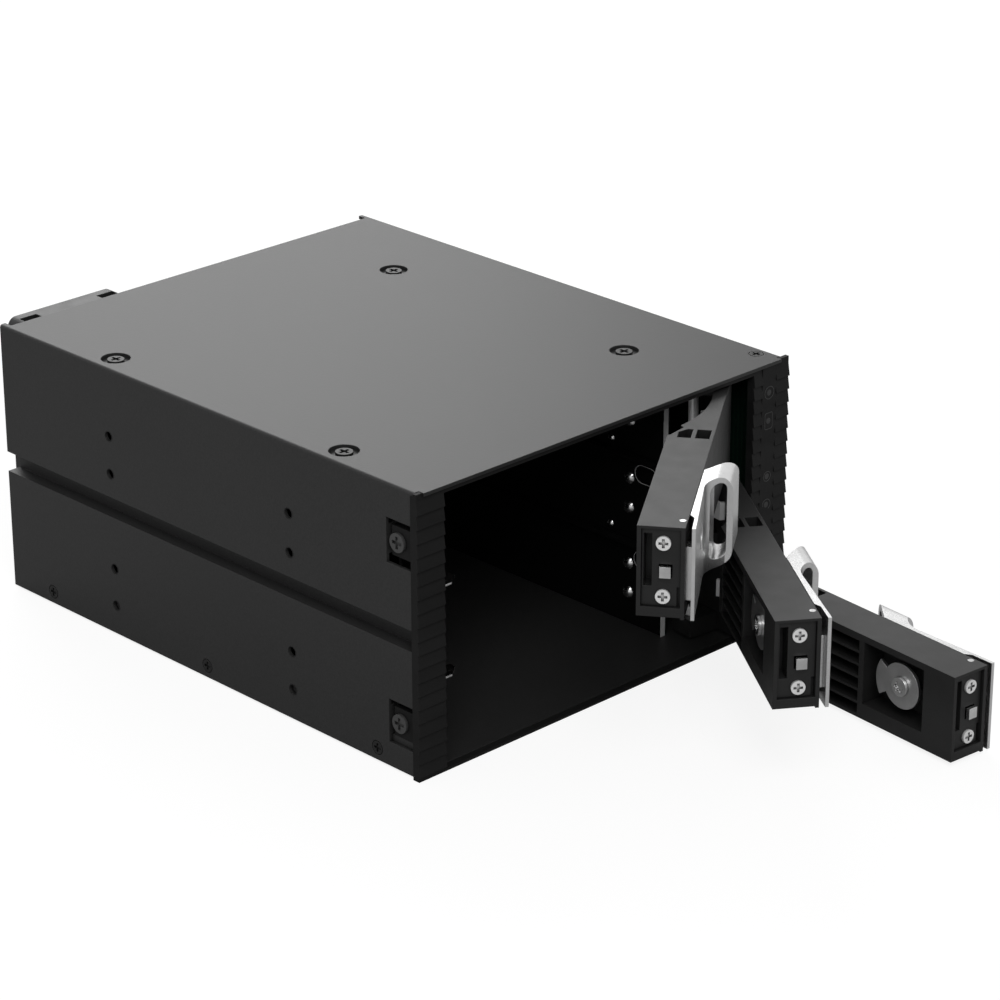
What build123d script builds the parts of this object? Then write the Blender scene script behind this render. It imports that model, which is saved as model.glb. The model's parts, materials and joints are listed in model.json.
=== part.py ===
from build123d import *
import os
from math import cos, radians, sin

# Hot swap drive cage: two 5.25 inch bays high, three 3.5 inch drive bays with swing doors.
# Millimetres. +X is the right side seen from the front, the front faces -Y, +Z is up.
# The origin is the centre of the underside. The doors stand open, as in the photograph.
# A setback is a distance behind the front, an inset one in from the nearer side or free end.

# Cage
cage_width = 146.0
cage_depth = 182.2
cage_height = 85.5
sheet = 1.0
fold_radius = 0.9
corner_relief = 2.0
skirt_rise = 0.8
cover_setback = 3.0
groove_floor_z = 38.5
groove_tall = 6.3
groove_deep = 4.4
flange_wide = 6.0
fit_gap = 0.1
side_x = cage_width / 2
front_y = -cage_depth / 2
rear_y = cage_depth / 2
under_cover_z = cage_height - sheet

# Side mounting holes of the two 5.25 inch bays
side_hole_radius = 1.5
side_hole_setback = 52.9
side_hole_spacing_y = 79.25
side_hole_spacing_z = 11.86
side_hole_low_z = 10.0
bay_pitch = 42.25

# Front bezel
bezel_deep = 3.0
bezel_left_overhang = 0.3
bezel_right_overhang = 1.8
bezel_sill = 0.8
bezel_head = 1.4
left_post_wide = 9.8
right_post_wide = 13.2
rib_pitch = 4.1
rib_deep = 0.6
rib_root = 0.3
icon_band_inset = 3.8
icon_band_wide = 5.8
icon_band_deep = 0.3
light_inset = 6.7
light_drops = (9.2, 18.0, 35.5, 44.5)
light_radius = 0.9
boss_tall = 4.2
left_post_inner_x = left_post_wide - side_x
right_post_inner_x = side_x - right_post_wide
icon_band = (side_x - icon_band_inset - icon_band_wide, side_x - icon_band_inset)
light_x = side_x - light_inset
light_heights = [cage_height - drop for drop in light_drops]

# Bezel tabs, seen through a notch in each side panel
notch_long = 9.8
notch_tall = 13.2
tab_tall = 8.8
tab_long = 8.6
tab_thick = 2.0
tab_screw_setback = 8.9
low_tab_z = 14.8
high_tab_drop = 16.6
joggle_long = 3.4
tab_heights = (low_tab_z, cage_height - high_tab_drop)

# Screws
screw_radius = 1.25
screw_long = 5.5
cross_per_radius = 1.3
cross_arm_share = 0.28
cross_deep_share = 0.75
cover_screw_front = 37.0
cover_screw_rear = 46.2
cover_screw_setbacks = (cover_screw_front, cage_depth - cover_screw_rear)
cover_screw_offsets = (2.5, 3.0)
cover_head_radius = 2.5
cover_head_tall = 1.0
dimple_radius = 4.35
dimple_deep = 1.2
corner_inset = 4.0
corner_setback = 8.1
corner_head_radius = 2.05
flush_head_tall = 0.6
flush_gap = 0.2
tray_screw_front = 17.8
tray_screw_middle = 90.6
tray_screw_rear = 19.3
tray_screw_setbacks = (tray_screw_front, tray_screw_middle, cage_depth - tray_screw_rear)
tray_screw_z = 4.5
tray_screw_shank = 3.0
tray_head_radius = 2.0
bezel_head_radius = 2.8
bezel_head_tall = 0.9
fan_head_radius = 2.6
fan_head_tall = 1.2

# Bottom tray
tray_wall_tall = 12.0

# Drive bays: the guides leave a 101.6 drive between the springs
left_guide_inset = 9.5
right_guide_inset = 32.3
spring_reach = 1.3
bay_front = 17.2
ledge_wide = 3.0
ledge_thick = 0.8
guide_flange_reach = 6.2
guide_flange_setback = 13.0
guide_flange_rear_gap = 12.3
window_long = 9.0
window_tall = 5.6
window_setback = 24.6
window_rise = 22.8
rear_panel_inset = 4.2
backplane_gap = 3.9
board_thick = 1.6
board_edge = 4.0
rear_panel_setback = cage_depth - rear_panel_inset
backplane_setback = rear_panel_setback - backplane_gap - board_thick

# Spring domes and rivets on the guides, by height above each bay's foot
dome_radius = 2.4
dome_setbacks = (31.5, 150.0)
dome_rises = (11.0, 20.5)
rivet_radius = 1.5
rivet_reach = 0.8
rivet_setback = 38.9
rivet_rise = 3.5

# Strike clips: flat spring leaves on the left post, between the doors
clip_thick = 0.55
clip_setback = 1.2
clip_root_wide = 1.6
clip_long = 7.2
clip_drop_back = 3.6
clip_tip_wide = 2.0

# Doors, in their own frame: u from the hinge axis to the free end, v outward, z up
hinge_inset = 24.4
hinge_setback = 13.7
hinge_rod_radius = 1.5
running_gap = 0.05
door_angles = {"bottom": 85.0, "middle": 55.4, "top": 36.1}
door_margin = 3.0
door_gap = 1.6
door_low_z = 1.6
door_end_gap = 2.2
door_inner_v = -1.9
door_outer_v = 10.9
arm_inner_v = 7.0
arm_end_angle = 170.0
arm_straight_u = 14.0
arm_scoop = (29.0, 5.2)
heel_points = ((45.6, -1.2), (39.7, 1.9), (38.3, 0.9))
heel_u = 45.8
knuckle_tall = 5.5
top_knuckle_tall = 4.0
rim_drop = 0.5
rim_thick = 1.0
rim_start_u = 62.0
lug_clear = 0.3
lug_thick = 1.0
lug_radius = 3.5
bracket_long = 12.0
hinge_x = side_x - hinge_inset
door_pitch = (cage_height - door_margin) / len(door_angles)
door_tall = door_pitch - door_gap
door_reach = hinge_x - left_post_inner_x - door_end_gap

# Lock: a key cylinder with a cam, which throws the latch bolt
lock_inset = 21.3
lock_drop = 10.9
lock_radius = 5.5
lock_setback = 0.3
cam_radius = 6.8
cam_reach = 9.8
cam_lobe_angle = 32.7
cam_thick = 1.0
cam_outer_v = 0.4
nut_radius = 2.8
nut_tall = 1.0
star_radius = 1.25
star_tip_radius = 0.45
star_tips = 6
key_slot_long = 6.0
key_slot_wide = 1.2
bolt_v = (4.2, 7.2)
bolt_tall = 3.2
bolt_root = 0.6
bolt_stand_out = 0.4
bolt_clear = 0.3
lock_u = door_reach - lock_inset
lock_z = door_tall - lock_drop

# Grille, lock pocket and end recess of a door
grille_start_u = 49.0
grille_low_z = 1.1
grille_gap_tall = 3.1
grille_pitch = 3.9
pocket_wall = 1.9
pocket_before_lock = 13.6
pocket_past_lock = 9.7
pocket_low_z = 4.9
pocket_head = 2.0
pocket_floor_v = 6.0
recess_deep = 2.2
recess_low_z = 2.7
recess_head = 0.8
recess_v = (-0.75, 9.75)
end_plate_thick = 1.2
end_screw_v = 5.1
end_screw_low_z = 5.7
end_screw_drop = 4.9
end_head_radius = 2.0
end_head_tall = 0.8
side_slot_v = (-0.15, 2.05)
side_slot_low_z = 8.4
side_slot_head = 2.4
side_slot_deep = 4.0
square_slot_u = (40.7, 47.2)
square_slot_v = (5.9, 9.9)
corner_slot = ((47.2, 0.9), (47.2, 4.7), (40.7, 4.7), (40.7, 3.2), (43.2, 0.9))
top_slot_deep = 5.0

# Ejector tab: a bent strip on the inside of the arm
ejector_z = (13.2, 18.6)
ejector_thick = 1.0
ejector_tip = (8.2, 3.0)
ejector_bend = (12.9, 5.5)

# Lever on the outer face of a door: a plate that swells into a leaning finger loop
lever_pin_inset = 5.1
lever_pin_v = 9.6
lever_pin_radius = 0.9
lever_knuckle_radius = 1.9
lever_knuckle_low_z = 3.9
lever_knuckle_head = 6.7
lever_slot_before = 3.1
lever_slot_past = 2.7
lever_slot_floor_v = 7.4
lever_slot_clear = 0.5
lever_clear = 0.2
lever_thick = 1.0
lever_end_v = 13.6
lever_step_inset = 9.1
lever_step_long = 1.8
loop_root_inset = 40.2
loop_tip_inset = 50.8
loop_out_v = 19.5
loop_deep = 14.0
loop_crest_thick = 2.0
loop_scoop_middle = (2.6, 14.5)
loop_scoop_end = (9.2, 12.5)
loop_corner = 4.5
loop_rim = 1.7
loop_wide = 4.2
loop_foot = 2.0
key_hole_radius = 4.0

# Fans on the rear panel
fan_margin = 5.5
fan_deep = 10.0
fan_inset = 27.8
fan_low_z = 3.7
fan_wall = 1.4
fan_tube_wall = 1.0
fan_flange = 3.0
fan_corner = 3.0
fan_hole_inset = 4.0
fan_hole_radius = 1.6
fan_pocket = (2.3, 8.5)
strut_wide = 2.4
strut_deep = 1.4
strut_turns = (90, 210, 330)
hub_radius = 8.0
blade_count = 7
blade_wide = 8.0
blade_thick = 0.9
blade_clear = 0.7
blade_pitch_angle = 38.0
rotor_clear = 0.5
shaft_radius = 1.2
fan_size = (cage_height - fan_margin) / 2
fan_x = fan_inset - side_x
fan_bore_radius = fan_size / 2 - fan_wall
fan_hole_pitch = fan_size - 2 * fan_hole_inset
blade_tip_radius = fan_bore_radius - blade_clear

# Rear connectors
data_port = (16.6, 8.5, 6.8)
data_port_inset = 65.0
power_port = (22.0, 11.0, 9.5)
power_port_inset = 31.0
port_rise = 15.0
port_clear = 0.5
receptacle = (40.0, 9.0, 6.5)
receptacle_inset = 61.0
connector_wall = 2.4
connector_mouth_deep = 6.0
vent_long = 32.0
vent_tall = 9.0
hook_inset = 68.8
hook_wide = 9.5
data_port_x = side_x - data_port_inset
power_port_x = side_x - power_port_inset

# Indicator board and its light pipes
indicator_long = 46.0
indicator_tall = 49.0
pipe_past_bezel = 3.0

os.makedirs("parts", exist_ok=True)


def save(shape, name):
    shape.label = name
    export_step(shape, f"parts/{name}.step")


def block(x, y, z, mode=Mode.ADD):
    """A box between the low and high values given along each axis."""
    with Locations(((x[0] + x[1]) / 2, (y[0] + y[1]) / 2, (z[0] + z[1]) / 2)):
        Box(x[1] - x[0], y[1] - y[0], z[1] - z[0], mode=mode)


def drum(centre, radius, length, turn=(0, 0, 0), mode=Mode.ADD):
    """A cylinder about its centre, turned from upright."""
    with Locations(Location(centre, turn)):
        Cylinder(radius, length, mode=mode)


ALONG_X = (0, 90, 0)
ALONG_Y = (90, 0, 0)


def back(setback):
    """The y of a place that lies this far behind the front."""
    return front_y + setback


# Places that several pieces share
bezel_back_y = back(bezel_deep)
bay_front_y = back(bay_front)
backplane_y = back(backplane_setback)
rear_panel_y = back(rear_panel_setback)
tab_screw_y = back(tab_screw_setback)
guide_left_x = left_guide_inset - side_x
guide_right_x = side_x - right_guide_inset
dimple_floor_z = cage_height - dimple_deep
guide_top_z = dimple_floor_z - sheet
levels = range(len(door_angles))
bay_feet = [level * door_pitch for level in levels]
ledge_tops = [sheet + foot for foot in bay_feet[1:]]
port_heights = [port_rise + foot for foot in bay_feet]
fan_heights = [fan_low_z + fan_size * (row + 0.5) for row in (0, 1)]
cover_screw_places = [
    (x, back(setback))
    for x in (guide_left_x - cover_screw_offsets[0], guide_right_x + cover_screw_offsets[1])
    for setback in cover_screw_setbacks
]
corner_place = (side_x - corner_inset, back(corner_setback), cage_height)
side_hole_rows = [
    (back(side_hole_setback) + row * side_hole_spacing_y, side_hole_low_z + bay * bay_pitch + step)
    for bay in (0, 1)
    for row in (0, 1)
    for step in (0, side_hole_spacing_z)
]


# Outer shell: cover and both sides in one folded sheet, with the pressed grooves
def shell_outline(inset, foot):
    low = groove_floor_z - inset
    high = groove_floor_z + groove_tall + inset
    wall = side_x - inset
    floor = side_x - groove_deep - inset
    right = [(wall, foot), (wall, low), (floor, low), (floor, high), (wall, high)]
    right.append((wall, cage_height - inset))
    return right + [(-x, z) for x, z in reversed(right)]


with BuildPart() as outer_shell:
    with BuildSketch(Plane.XZ.offset(-rear_y)):
        Polygon(*shell_outline(0, skirt_rise), align=None)
        Polygon(*shell_outline(sheet, -sheet), align=None, mode=Mode.SUBTRACT)
    extrude(amount=cage_depth)
    folds = outer_shell.edges().filter_by(Axis.Y).group_by(Axis.Z)[-1]
    fillet(folds, fold_radius)
    block((-side_x, side_x), (front_y, bezel_back_y), (0, under_cover_z), mode=Mode.SUBTRACT)
    cover_end = (rear_y - cover_setback, rear_y)
    inside = side_x - 2 * sheet
    block((-inside, inside), cover_end, (under_cover_z, cage_height), mode=Mode.SUBTRACT)
    for side in (-1, 1):
        relief_x = sorted((side * (side_x - corner_relief), side * side_x))
        relief_z = (under_cover_z, cage_height)
        block(relief_x, (front_y, front_y + corner_relief), relief_z, mode=Mode.SUBTRACT)
        flange_x = sorted((side * (side_x - sheet), side * (side_x - flange_wide)))
        flange_y = (rear_y - sheet, rear_y)
        block(flange_x, flange_y, (skirt_rise, groove_floor_z))
        block(flange_x, flange_y, (groove_floor_z + groove_tall, under_cover_z - sheet))
        notch_x = sorted((side * (side_x + sheet), side * (side_x - sheet)))
        joggle_x = sorted((side * (side_x - sheet), side * (side_x - sheet - tab_thick - sheet)))
        lug_x = sorted((side * (side_x - sheet - tab_thick), side * (side_x - sheet - tab_thick - sheet)))
        for height in tab_heights:
            notch_z = (height - notch_tall / 2, height + notch_tall / 2)
            tab_z = (height - tab_tall / 2, height + tab_tall / 2)
            notch_end = bezel_back_y + notch_long
            block(notch_x, (bezel_back_y, notch_end), notch_z, mode=Mode.SUBTRACT)
            block(joggle_x, (notch_end, notch_end + joggle_long), tab_z)
            block(lug_x, (bezel_back_y + sheet, notch_end), tab_z)
            lug_middle = (side * (side_x - sheet - tab_thick), tab_screw_y, height)
            drum(lug_middle, screw_radius, 4 * sheet, ALONG_X, mode=Mode.SUBTRACT)
        for y, z in side_hole_rows:
            drum((side * side_x, y, z), side_hole_radius, 3 * sheet, ALONG_X, mode=Mode.SUBTRACT)
        for setback in tray_screw_setbacks:
            place = (side * side_x, back(setback), tray_screw_z)
            sunk_radius = tray_head_radius + flush_gap
            drum(place, sunk_radius, 2 * flush_head_tall, ALONG_X, mode=Mode.SUBTRACT)
            drum(place, screw_radius, 3 * sheet, ALONG_X, mode=Mode.SUBTRACT)
    for x, y in cover_screw_places:
        cup_z = (dimple_floor_z - sheet + under_cover_z) / 2
        drum((x, y, cup_z), dimple_radius + sheet, under_cover_z - dimple_floor_z + sheet)
        drum((x, y, cage_height), dimple_radius, 2 * dimple_deep, mode=Mode.SUBTRACT)
        drum((x, y, cage_height), screw_radius, 6 * sheet, mode=Mode.SUBTRACT)
    drum(corner_place, corner_head_radius + flush_gap, 2 * flush_head_tall, mode=Mode.SUBTRACT)
    drum(corner_place, screw_radius, 3 * sheet, mode=Mode.SUBTRACT)
save(outer_shell.part, "outer_shell")

# Bottom tray, with low walls that the tray screws hold
tray_x = side_x - sheet - fit_gap
with BuildPart() as bottom_tray:
    block((-tray_x, tray_x), (bezel_back_y, rear_panel_y), (0, sheet))
    for side in (-1, 1):
        wall_x = sorted((side * tray_x, side * (tray_x - sheet)))
        block(wall_x, (bezel_back_y, rear_panel_y), (0, tray_wall_tall))
        notch_end = bezel_back_y + notch_long + joggle_long
        tab_foot = tab_heights[0] - tab_tall / 2 - fit_gap
        block(wall_x, (bezel_back_y, notch_end + fit_gap), (tab_foot, tray_wall_tall), mode=Mode.SUBTRACT)
        for setback in tray_screw_setbacks:
            place = (side * tray_x, back(setback), tray_screw_z)
            drum(place, screw_radius, 4 * sheet, ALONG_X, mode=Mode.SUBTRACT)
    drum((hinge_x, back(hinge_setback), 0), hinge_rod_radius, 3 * sheet, mode=Mode.SUBTRACT)
save(bottom_tray.part, "bottom_tray")

# Front bezel: a moulded frame with ribbed posts
bezel_x = (-side_x - bezel_left_overhang, side_x + bezel_right_overhang)
rib_base_y = front_y + rib_deep
rib_count = int(under_cover_z / rib_pitch)
rib_low_z = (under_cover_z - rib_count * rib_pitch) / 2
rib_columns = [
    (bezel_x[0], left_post_inner_x),
    (right_post_inner_x, icon_band[0]),
    (icon_band[1], bezel_x[1]),
]
with BuildPart() as front_bezel:
    block(bezel_x, (rib_base_y, bezel_back_y), (0, under_cover_z))
    for column in rib_columns:
        with BuildSketch(Plane.YZ.offset(column[0])):
            for rib in range(rib_count):
                low = rib_low_z + rib * rib_pitch
                tip = (front_y, low + rib_deep / 2)
                root_y = rib_base_y + rib_root
                high = low + rib_pitch
                Polygon((root_y, low), tip, (rib_base_y, high), (root_y, high), align=None)
        extrude(amount=column[1] - column[0])
    block(icon_band, (front_y + icon_band_deep, bezel_back_y), (0, under_cover_z))
    opening_x = (left_post_inner_x, right_post_inner_x)
    opening_z = (bezel_sill, under_cover_z - bezel_head)
    block(opening_x, (front_y - bezel_deep, bezel_back_y + bezel_deep), opening_z, mode=Mode.SUBTRACT)
    for side, outer_x in zip((-1, 1), bezel_x):
        relief_x = sorted((outer_x, side * (side_x - corner_relief + fit_gap)))
        relief_y = (rib_base_y, front_y + corner_relief - fit_gap)
        block(relief_x, relief_y, (under_cover_z, cage_height - fit_gap))
        tab_x = sorted((side * (side_x - sheet), side * (side_x - sheet - tab_thick)))
        for height in tab_heights:
            tab_z = (height - tab_tall / 2, height + tab_tall / 2)
            block(tab_x, (bezel_back_y, bezel_back_y + tab_long), tab_z)
            place = (side * side_x, tab_screw_y, height)
            drum(place, screw_radius, 4 * (sheet + tab_thick), ALONG_X, mode=Mode.SUBTRACT)
    boss_reach = bezel_back_y + 2 * (corner_setback - bezel_deep)
    boss_wide = 3 * corner_head_radius
    boss_x = (corner_place[0] - boss_wide / 2, corner_place[0] + boss_wide / 2 - sheet)
    block(boss_x, (bezel_back_y, boss_reach), (under_cover_z - boss_tall, under_cover_z))
    drum(corner_place, screw_radius, 2 * screw_long, mode=Mode.SUBTRACT)
    for height in light_heights:
        drum((light_x, front_y, height), light_radius, 3 * bezel_deep, ALONG_Y, mode=Mode.SUBTRACT)
save(front_bezel.part, "front_bezel")


# Drive guides: folded walls with a ledge under each upper bay and a window near the front
def guide(inner_x, outward):
    outer_x = inner_x + outward * sheet
    wall_x = sorted((inner_x, outer_x))
    flange_x = sorted((outer_x, outer_x + outward * guide_flange_reach))
    ledge_x = sorted((inner_x, inner_x - outward * ledge_wide))
    ledge_y = (bay_front_y + ledge_wide, backplane_y - 3 * ledge_wide)
    flange_y = (bay_front_y + guide_flange_setback, backplane_y - guide_flange_rear_gap)
    with BuildPart() as wall:
        block(wall_x, (bay_front_y, backplane_y), (sheet, guide_top_z))
        block(flange_x, flange_y, (guide_top_z - sheet, guide_top_z))
        block(flange_x, flange_y, (sheet, 2 * sheet))
        for top in ledge_tops:
            block(ledge_x, ledge_y, (top - ledge_thick, top))
        with BuildSketch(Plane.YZ.offset(wall_x[0])):
            with Locations([(back(window_setback), foot + window_rise) for foot in bay_feet]):
                SlotOverall(window_long, window_tall)
        extrude(amount=sheet, mode=Mode.SUBTRACT)
        for x, y in cover_screw_places:
            drum((x, y, guide_top_z), screw_radius, 4 * sheet, mode=Mode.SUBTRACT)
    return wall.part


save(guide(guide_left_x, -1), "left_guide")
save(guide(guide_right_x, 1), "right_guide")


# Spring domes that press on the sides of a drive, and rivets above the ledges
def domes(wall_x, inward):
    dome_x = wall_x + inward * (spring_reach - dome_radius)
    rivet_x = wall_x + inward * (rivet_reach - rivet_radius)
    hidden_x = sorted((wall_x, wall_x - inward * 2 * dome_radius))
    dome_heights = [foot + rise for foot in bay_feet for rise in dome_rises]
    with BuildPart() as springs:
        with Locations([(dome_x, back(setback), z) for setback in dome_setbacks for z in dome_heights]):
            Sphere(dome_radius, rotation=(0, 0, 90 + 90 * inward))
        with Locations([(rivet_x, back(rivet_setback), foot + rivet_rise) for foot in bay_feet[1:]]):
            Sphere(rivet_radius, rotation=(0, 0, 90 + 90 * inward))
        block(hidden_x, (front_y, rear_y), (0, cage_height), mode=Mode.SUBTRACT)
    return springs.part


save(domes(guide_left_x, 1), "left_springs")
save(domes(guide_right_x, -1), "right_springs")

lug_levels = [door_low_z + foot + door_tall + lug_clear for foot in bay_feet]
clip_x = (left_post_inner_x, left_post_inner_x + clip_long)
clip_root_y = (back(clip_setback), back(clip_setback + clip_root_wide))
clip_tip_y = (clip_root_y[1] + clip_drop_back - clip_tip_wide, clip_root_y[1] + clip_drop_back)
with BuildPart() as strike_clips:
    for level in lug_levels[:-1]:
        with BuildSketch(Plane.XY.offset(level)):
            Polygon(
                (clip_x[0], clip_root_y[0]),
                (clip_x[0] + 2 * clip_root_wide, clip_root_y[0]),
                (clip_x[1], clip_tip_y[0]),
                (clip_x[1], clip_tip_y[1]),
                (clip_x[1] - clip_tip_wide, clip_tip_y[1]),
                (clip_x[0], clip_root_y[1]),
                align=None,
            )
        extrude(amount=clip_thick)
save(strike_clips.part, "strike_clips")

# Backplane board, with slots that let the air through
board_y = (backplane_y, backplane_y + board_thick)
with BuildPart() as backplane:
    board_x = (guide_left_x - board_edge, power_port_x + power_port[0] / 2 + board_edge)
    block(board_x, board_y, (sheet, guide_top_z - board_edge))
    vent_x = (fan_x - vent_long / 2, fan_x + vent_long / 2)
    for height in port_heights:
        block(vent_x, board_y, (height - vent_tall / 2, height + vent_tall / 2), mode=Mode.SUBTRACT)
save(backplane.part, "backplane")


# Connectors: a housing with an open mouth and a tongue across it
def sockets(centre_x, size, y, mouth_side):
    """Housings at each port height. y is the face on the board, mouth_side the way they open."""
    wide, deep, tall = size
    mouth_y = y + mouth_side * (deep - connector_mouth_deep / 2)
    with BuildPart() as housings:
        for height in port_heights:
            with Locations((centre_x, y + mouth_side * deep / 2, height)):
                Box(wide, deep, tall)
            with Locations((centre_x, mouth_y, height)):
                mouth_tall = tall - connector_wall
                Box(wide - connector_wall, connector_mouth_deep, mouth_tall, mode=Mode.SUBTRACT)
                Box(wide - 2 * connector_wall, connector_mouth_deep, connector_wall / 2)
    return housings.part


save(sockets(side_x - receptacle_inset, receptacle, board_y[0], -1), "drive_connectors")
save(sockets(data_port_x, data_port, board_y[1], 1), "data_ports")
save(sockets(power_port_x, power_port, board_y[1], 1), "power_ports")

# Rear panel, with fan and connector windows and a hooked tab
panel_y = (rear_panel_y, rear_panel_y + sheet)
hook_x = (side_x - hook_inset - hook_wide / 2, side_x - hook_inset + hook_wide / 2)
with BuildPart() as rear_panel:
    block((-tray_x, tray_x), panel_y, (sheet, under_cover_z - fit_gap))
    for side in (-1, 1):
        groove_x = sorted((side * side_x, side * (side_x - groove_deep - sheet - fit_gap)))
        groove_z = (groove_floor_z - sheet - fit_gap, groove_floor_z + groove_tall + sheet + fit_gap)
        block(groove_x, panel_y, groove_z, mode=Mode.SUBTRACT)
    for size, centre_x in ((data_port, data_port_x), (power_port, power_port_x)):
        for height in port_heights:
            half_wide = size[0] / 2 + port_clear
            half_tall = size[2] / 2 + port_clear
            window_x = (centre_x - half_wide, centre_x + half_wide)
            block(window_x, panel_y, (height - half_tall, height + half_tall), mode=Mode.SUBTRACT)
    for height in fan_heights:
        drum((fan_x, rear_panel_y, height), fan_bore_radius, 4 * sheet, ALONG_Y, mode=Mode.SUBTRACT)
        with Locations(Location((fan_x, rear_panel_y, height), ALONG_Y)):
            with GridLocations(fan_hole_pitch, fan_hole_pitch, 2, 2):
                Cylinder(fan_hole_radius, 4 * sheet, mode=Mode.SUBTRACT)
    block(hook_x, (panel_y[1], panel_y[1] + sheet), (under_cover_z - 3 * sheet, under_cover_z))
save(rear_panel.part, "rear_panel")

# Fans: a square frame with pockets round its screws, a tube, three struts and a bladed rotor
fan_front_y = panel_y[1]
fan_rear_y = fan_front_y + fan_deep


def fan_frame(height):
    middle_y = (fan_front_y + fan_rear_y) / 2
    pocket_y = (fan_front_y + fan_flange, fan_rear_y - fan_flange)
    tube_radius = fan_bore_radius + fan_tube_wall
    with BuildPart() as frame:
        with BuildSketch(Plane.XZ.offset(-fan_rear_y)):
            with Locations((fan_x, height)):
                RectangleRounded(fan_size, fan_size, fan_corner)
        extrude(amount=fan_deep)
        for side in (-1, 1):
            pocket_x = sorted(fan_x + side * (fan_size / 2 - inset) for inset in fan_pocket)
            for rise in (-1, 1):
                pocket_z = sorted((height, height + rise * fan_size / 2))
                block(pocket_x, pocket_y, pocket_z, mode=Mode.SUBTRACT)
        drum((fan_x, middle_y, height), tube_radius, fan_deep, ALONG_Y)
        drum((fan_x, middle_y, height), fan_bore_radius, fan_deep, ALONG_Y, mode=Mode.SUBTRACT)
        with Locations(Location((fan_x, middle_y, height), ALONG_Y)):
            with GridLocations(fan_hole_pitch, fan_hole_pitch, 2, 2):
                Cylinder(fan_hole_radius, fan_deep, mode=Mode.SUBTRACT)
        for turn in strut_turns:
            with Locations(Location((fan_x, fan_rear_y - strut_deep / 2, height), (0, turn, 0))):
                with Locations((fan_bore_radius / 2, 0, 0)):
                    Box(fan_bore_radius + rotor_clear, strut_deep, strut_wide)
        drum((fan_x, fan_rear_y - strut_deep / 2, height), hub_radius, strut_deep, ALONG_Y)
        bore_y = fan_rear_y - strut_deep / 2
        drum((fan_x, bore_y, height), shaft_radius + running_gap, strut_deep, ALONG_Y, mode=Mode.SUBTRACT)
    return frame.part


def fan_rotor(height):
    hub_front_y = fan_front_y + rotor_clear
    hub_rear_y = fan_rear_y - strut_deep - rotor_clear
    hub_long = hub_rear_y - hub_front_y
    hub_y = (hub_front_y + hub_rear_y) / 2
    blade_long = blade_tip_radius - hub_radius + rotor_clear
    blade_place = Location((blade_tip_radius - blade_long / 2, 0, 0), (blade_pitch_angle, 0, 0))
    with BuildPart() as rotor:
        for blade in range(blade_count):
            with Locations(Location((fan_x, hub_y, height), (0, blade * 360 / blade_count, 0))):
                with Locations(blade_place):
                    Box(blade_long, blade_thick, blade_wide)
        drum((fan_x, hub_y, height), blade_tip_radius, hub_long, ALONG_Y, mode=Mode.INTERSECT)
        drum((fan_x, hub_y, height), hub_radius, hub_long, ALONG_Y)
        drum((fan_x, (hub_y + fan_rear_y) / 2, height), shaft_radius, fan_rear_y - hub_y, ALONG_Y)
    return rotor.part


for name, height in zip(("lower", "upper"), fan_heights):
    save(fan_frame(height), f"{name}_fan_frame")
    save(fan_rotor(height), f"{name}_fan_rotor")


# Screws: a head and a shank with a cross recess
def screws(places, head_radius, head_tall, shank, head_turn=(0, 0, 0)):
    """places are the undersides of the heads. The head stands toward local +Z."""
    cross = head_radius * cross_per_radius
    arm = cross * cross_arm_share
    deep = head_tall * cross_deep_share
    with BuildPart() as group:
        for place in places:
            with Locations(Location(place, head_turn)):
                Cylinder(head_radius, head_tall, align=(Align.CENTER, Align.CENTER, Align.MIN))
                Cylinder(screw_radius, shank, align=(Align.CENTER, Align.CENTER, Align.MAX))
                with Locations((0, 0, head_tall - deep / 2)):
                    Box(cross, arm, deep, mode=Mode.SUBTRACT)
                    Box(arm, cross, deep, mode=Mode.SUBTRACT)
    return group.part


cover_places = [(x, y, dimple_floor_z) for x, y in cover_screw_places]
save(screws(cover_places, cover_head_radius, cover_head_tall, screw_long), "cover_screws")
corner_foot = (corner_place[0], corner_place[1], cage_height - flush_head_tall)
save(screws([corner_foot], corner_head_radius, flush_head_tall, boss_tall), "corner_screw")


def side_screws(x, rows, head_radius, head_tall, shank):
    left = screws([(-x, y, z) for y, z in rows], head_radius, head_tall, shank, (0, -90, 0))
    right = screws([(x, y, z) for y, z in rows], head_radius, head_tall, shank, (0, 90, 0))
    return Compound(children=list(left.solids()) + list(right.solids()))


tray_rows = [(back(setback), tray_screw_z) for setback in tray_screw_setbacks]
tray_head_x = side_x - flush_head_tall
tray_screws = side_screws(tray_head_x, tray_rows, tray_head_radius, flush_head_tall, tray_screw_shank)
save(tray_screws, "tray_screws")
bezel_rows = [(tab_screw_y, height) for height in tab_heights]
bezel_shank = tab_thick + sheet
bezel_screws = side_screws(side_x - sheet, bezel_rows, bezel_head_radius, bezel_head_tall, bezel_shank)
save(bezel_screws, "bezel_screws")

fan_screw_places = [
    (fan_x + dx, fan_rear_y, height + dz)
    for height in fan_heights
    for dx in (-fan_hole_pitch / 2, fan_hole_pitch / 2)
    for dz in (-fan_hole_pitch / 2, fan_hole_pitch / 2)
]
fan_screws = screws(fan_screw_places, fan_head_radius, fan_head_tall, fan_deep + sheet, (-90, 0, 0))
save(fan_screws, "fan_screws")

# Hinge rod and the bracket whose lugs hold it between the doors
hinge_y = back(hinge_setback)
bracket_front_y = bay_front_y + 2 * fit_gap
bracket_x = guide_right_x + sheet
with BuildPart() as hinge_rod:
    with Locations((hinge_x, hinge_y, 0)):
        Cylinder(hinge_rod_radius, under_cover_z, align=(Align.CENTER, Align.CENTER, Align.MIN))
save(hinge_rod.part, "hinge_rod")

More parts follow.
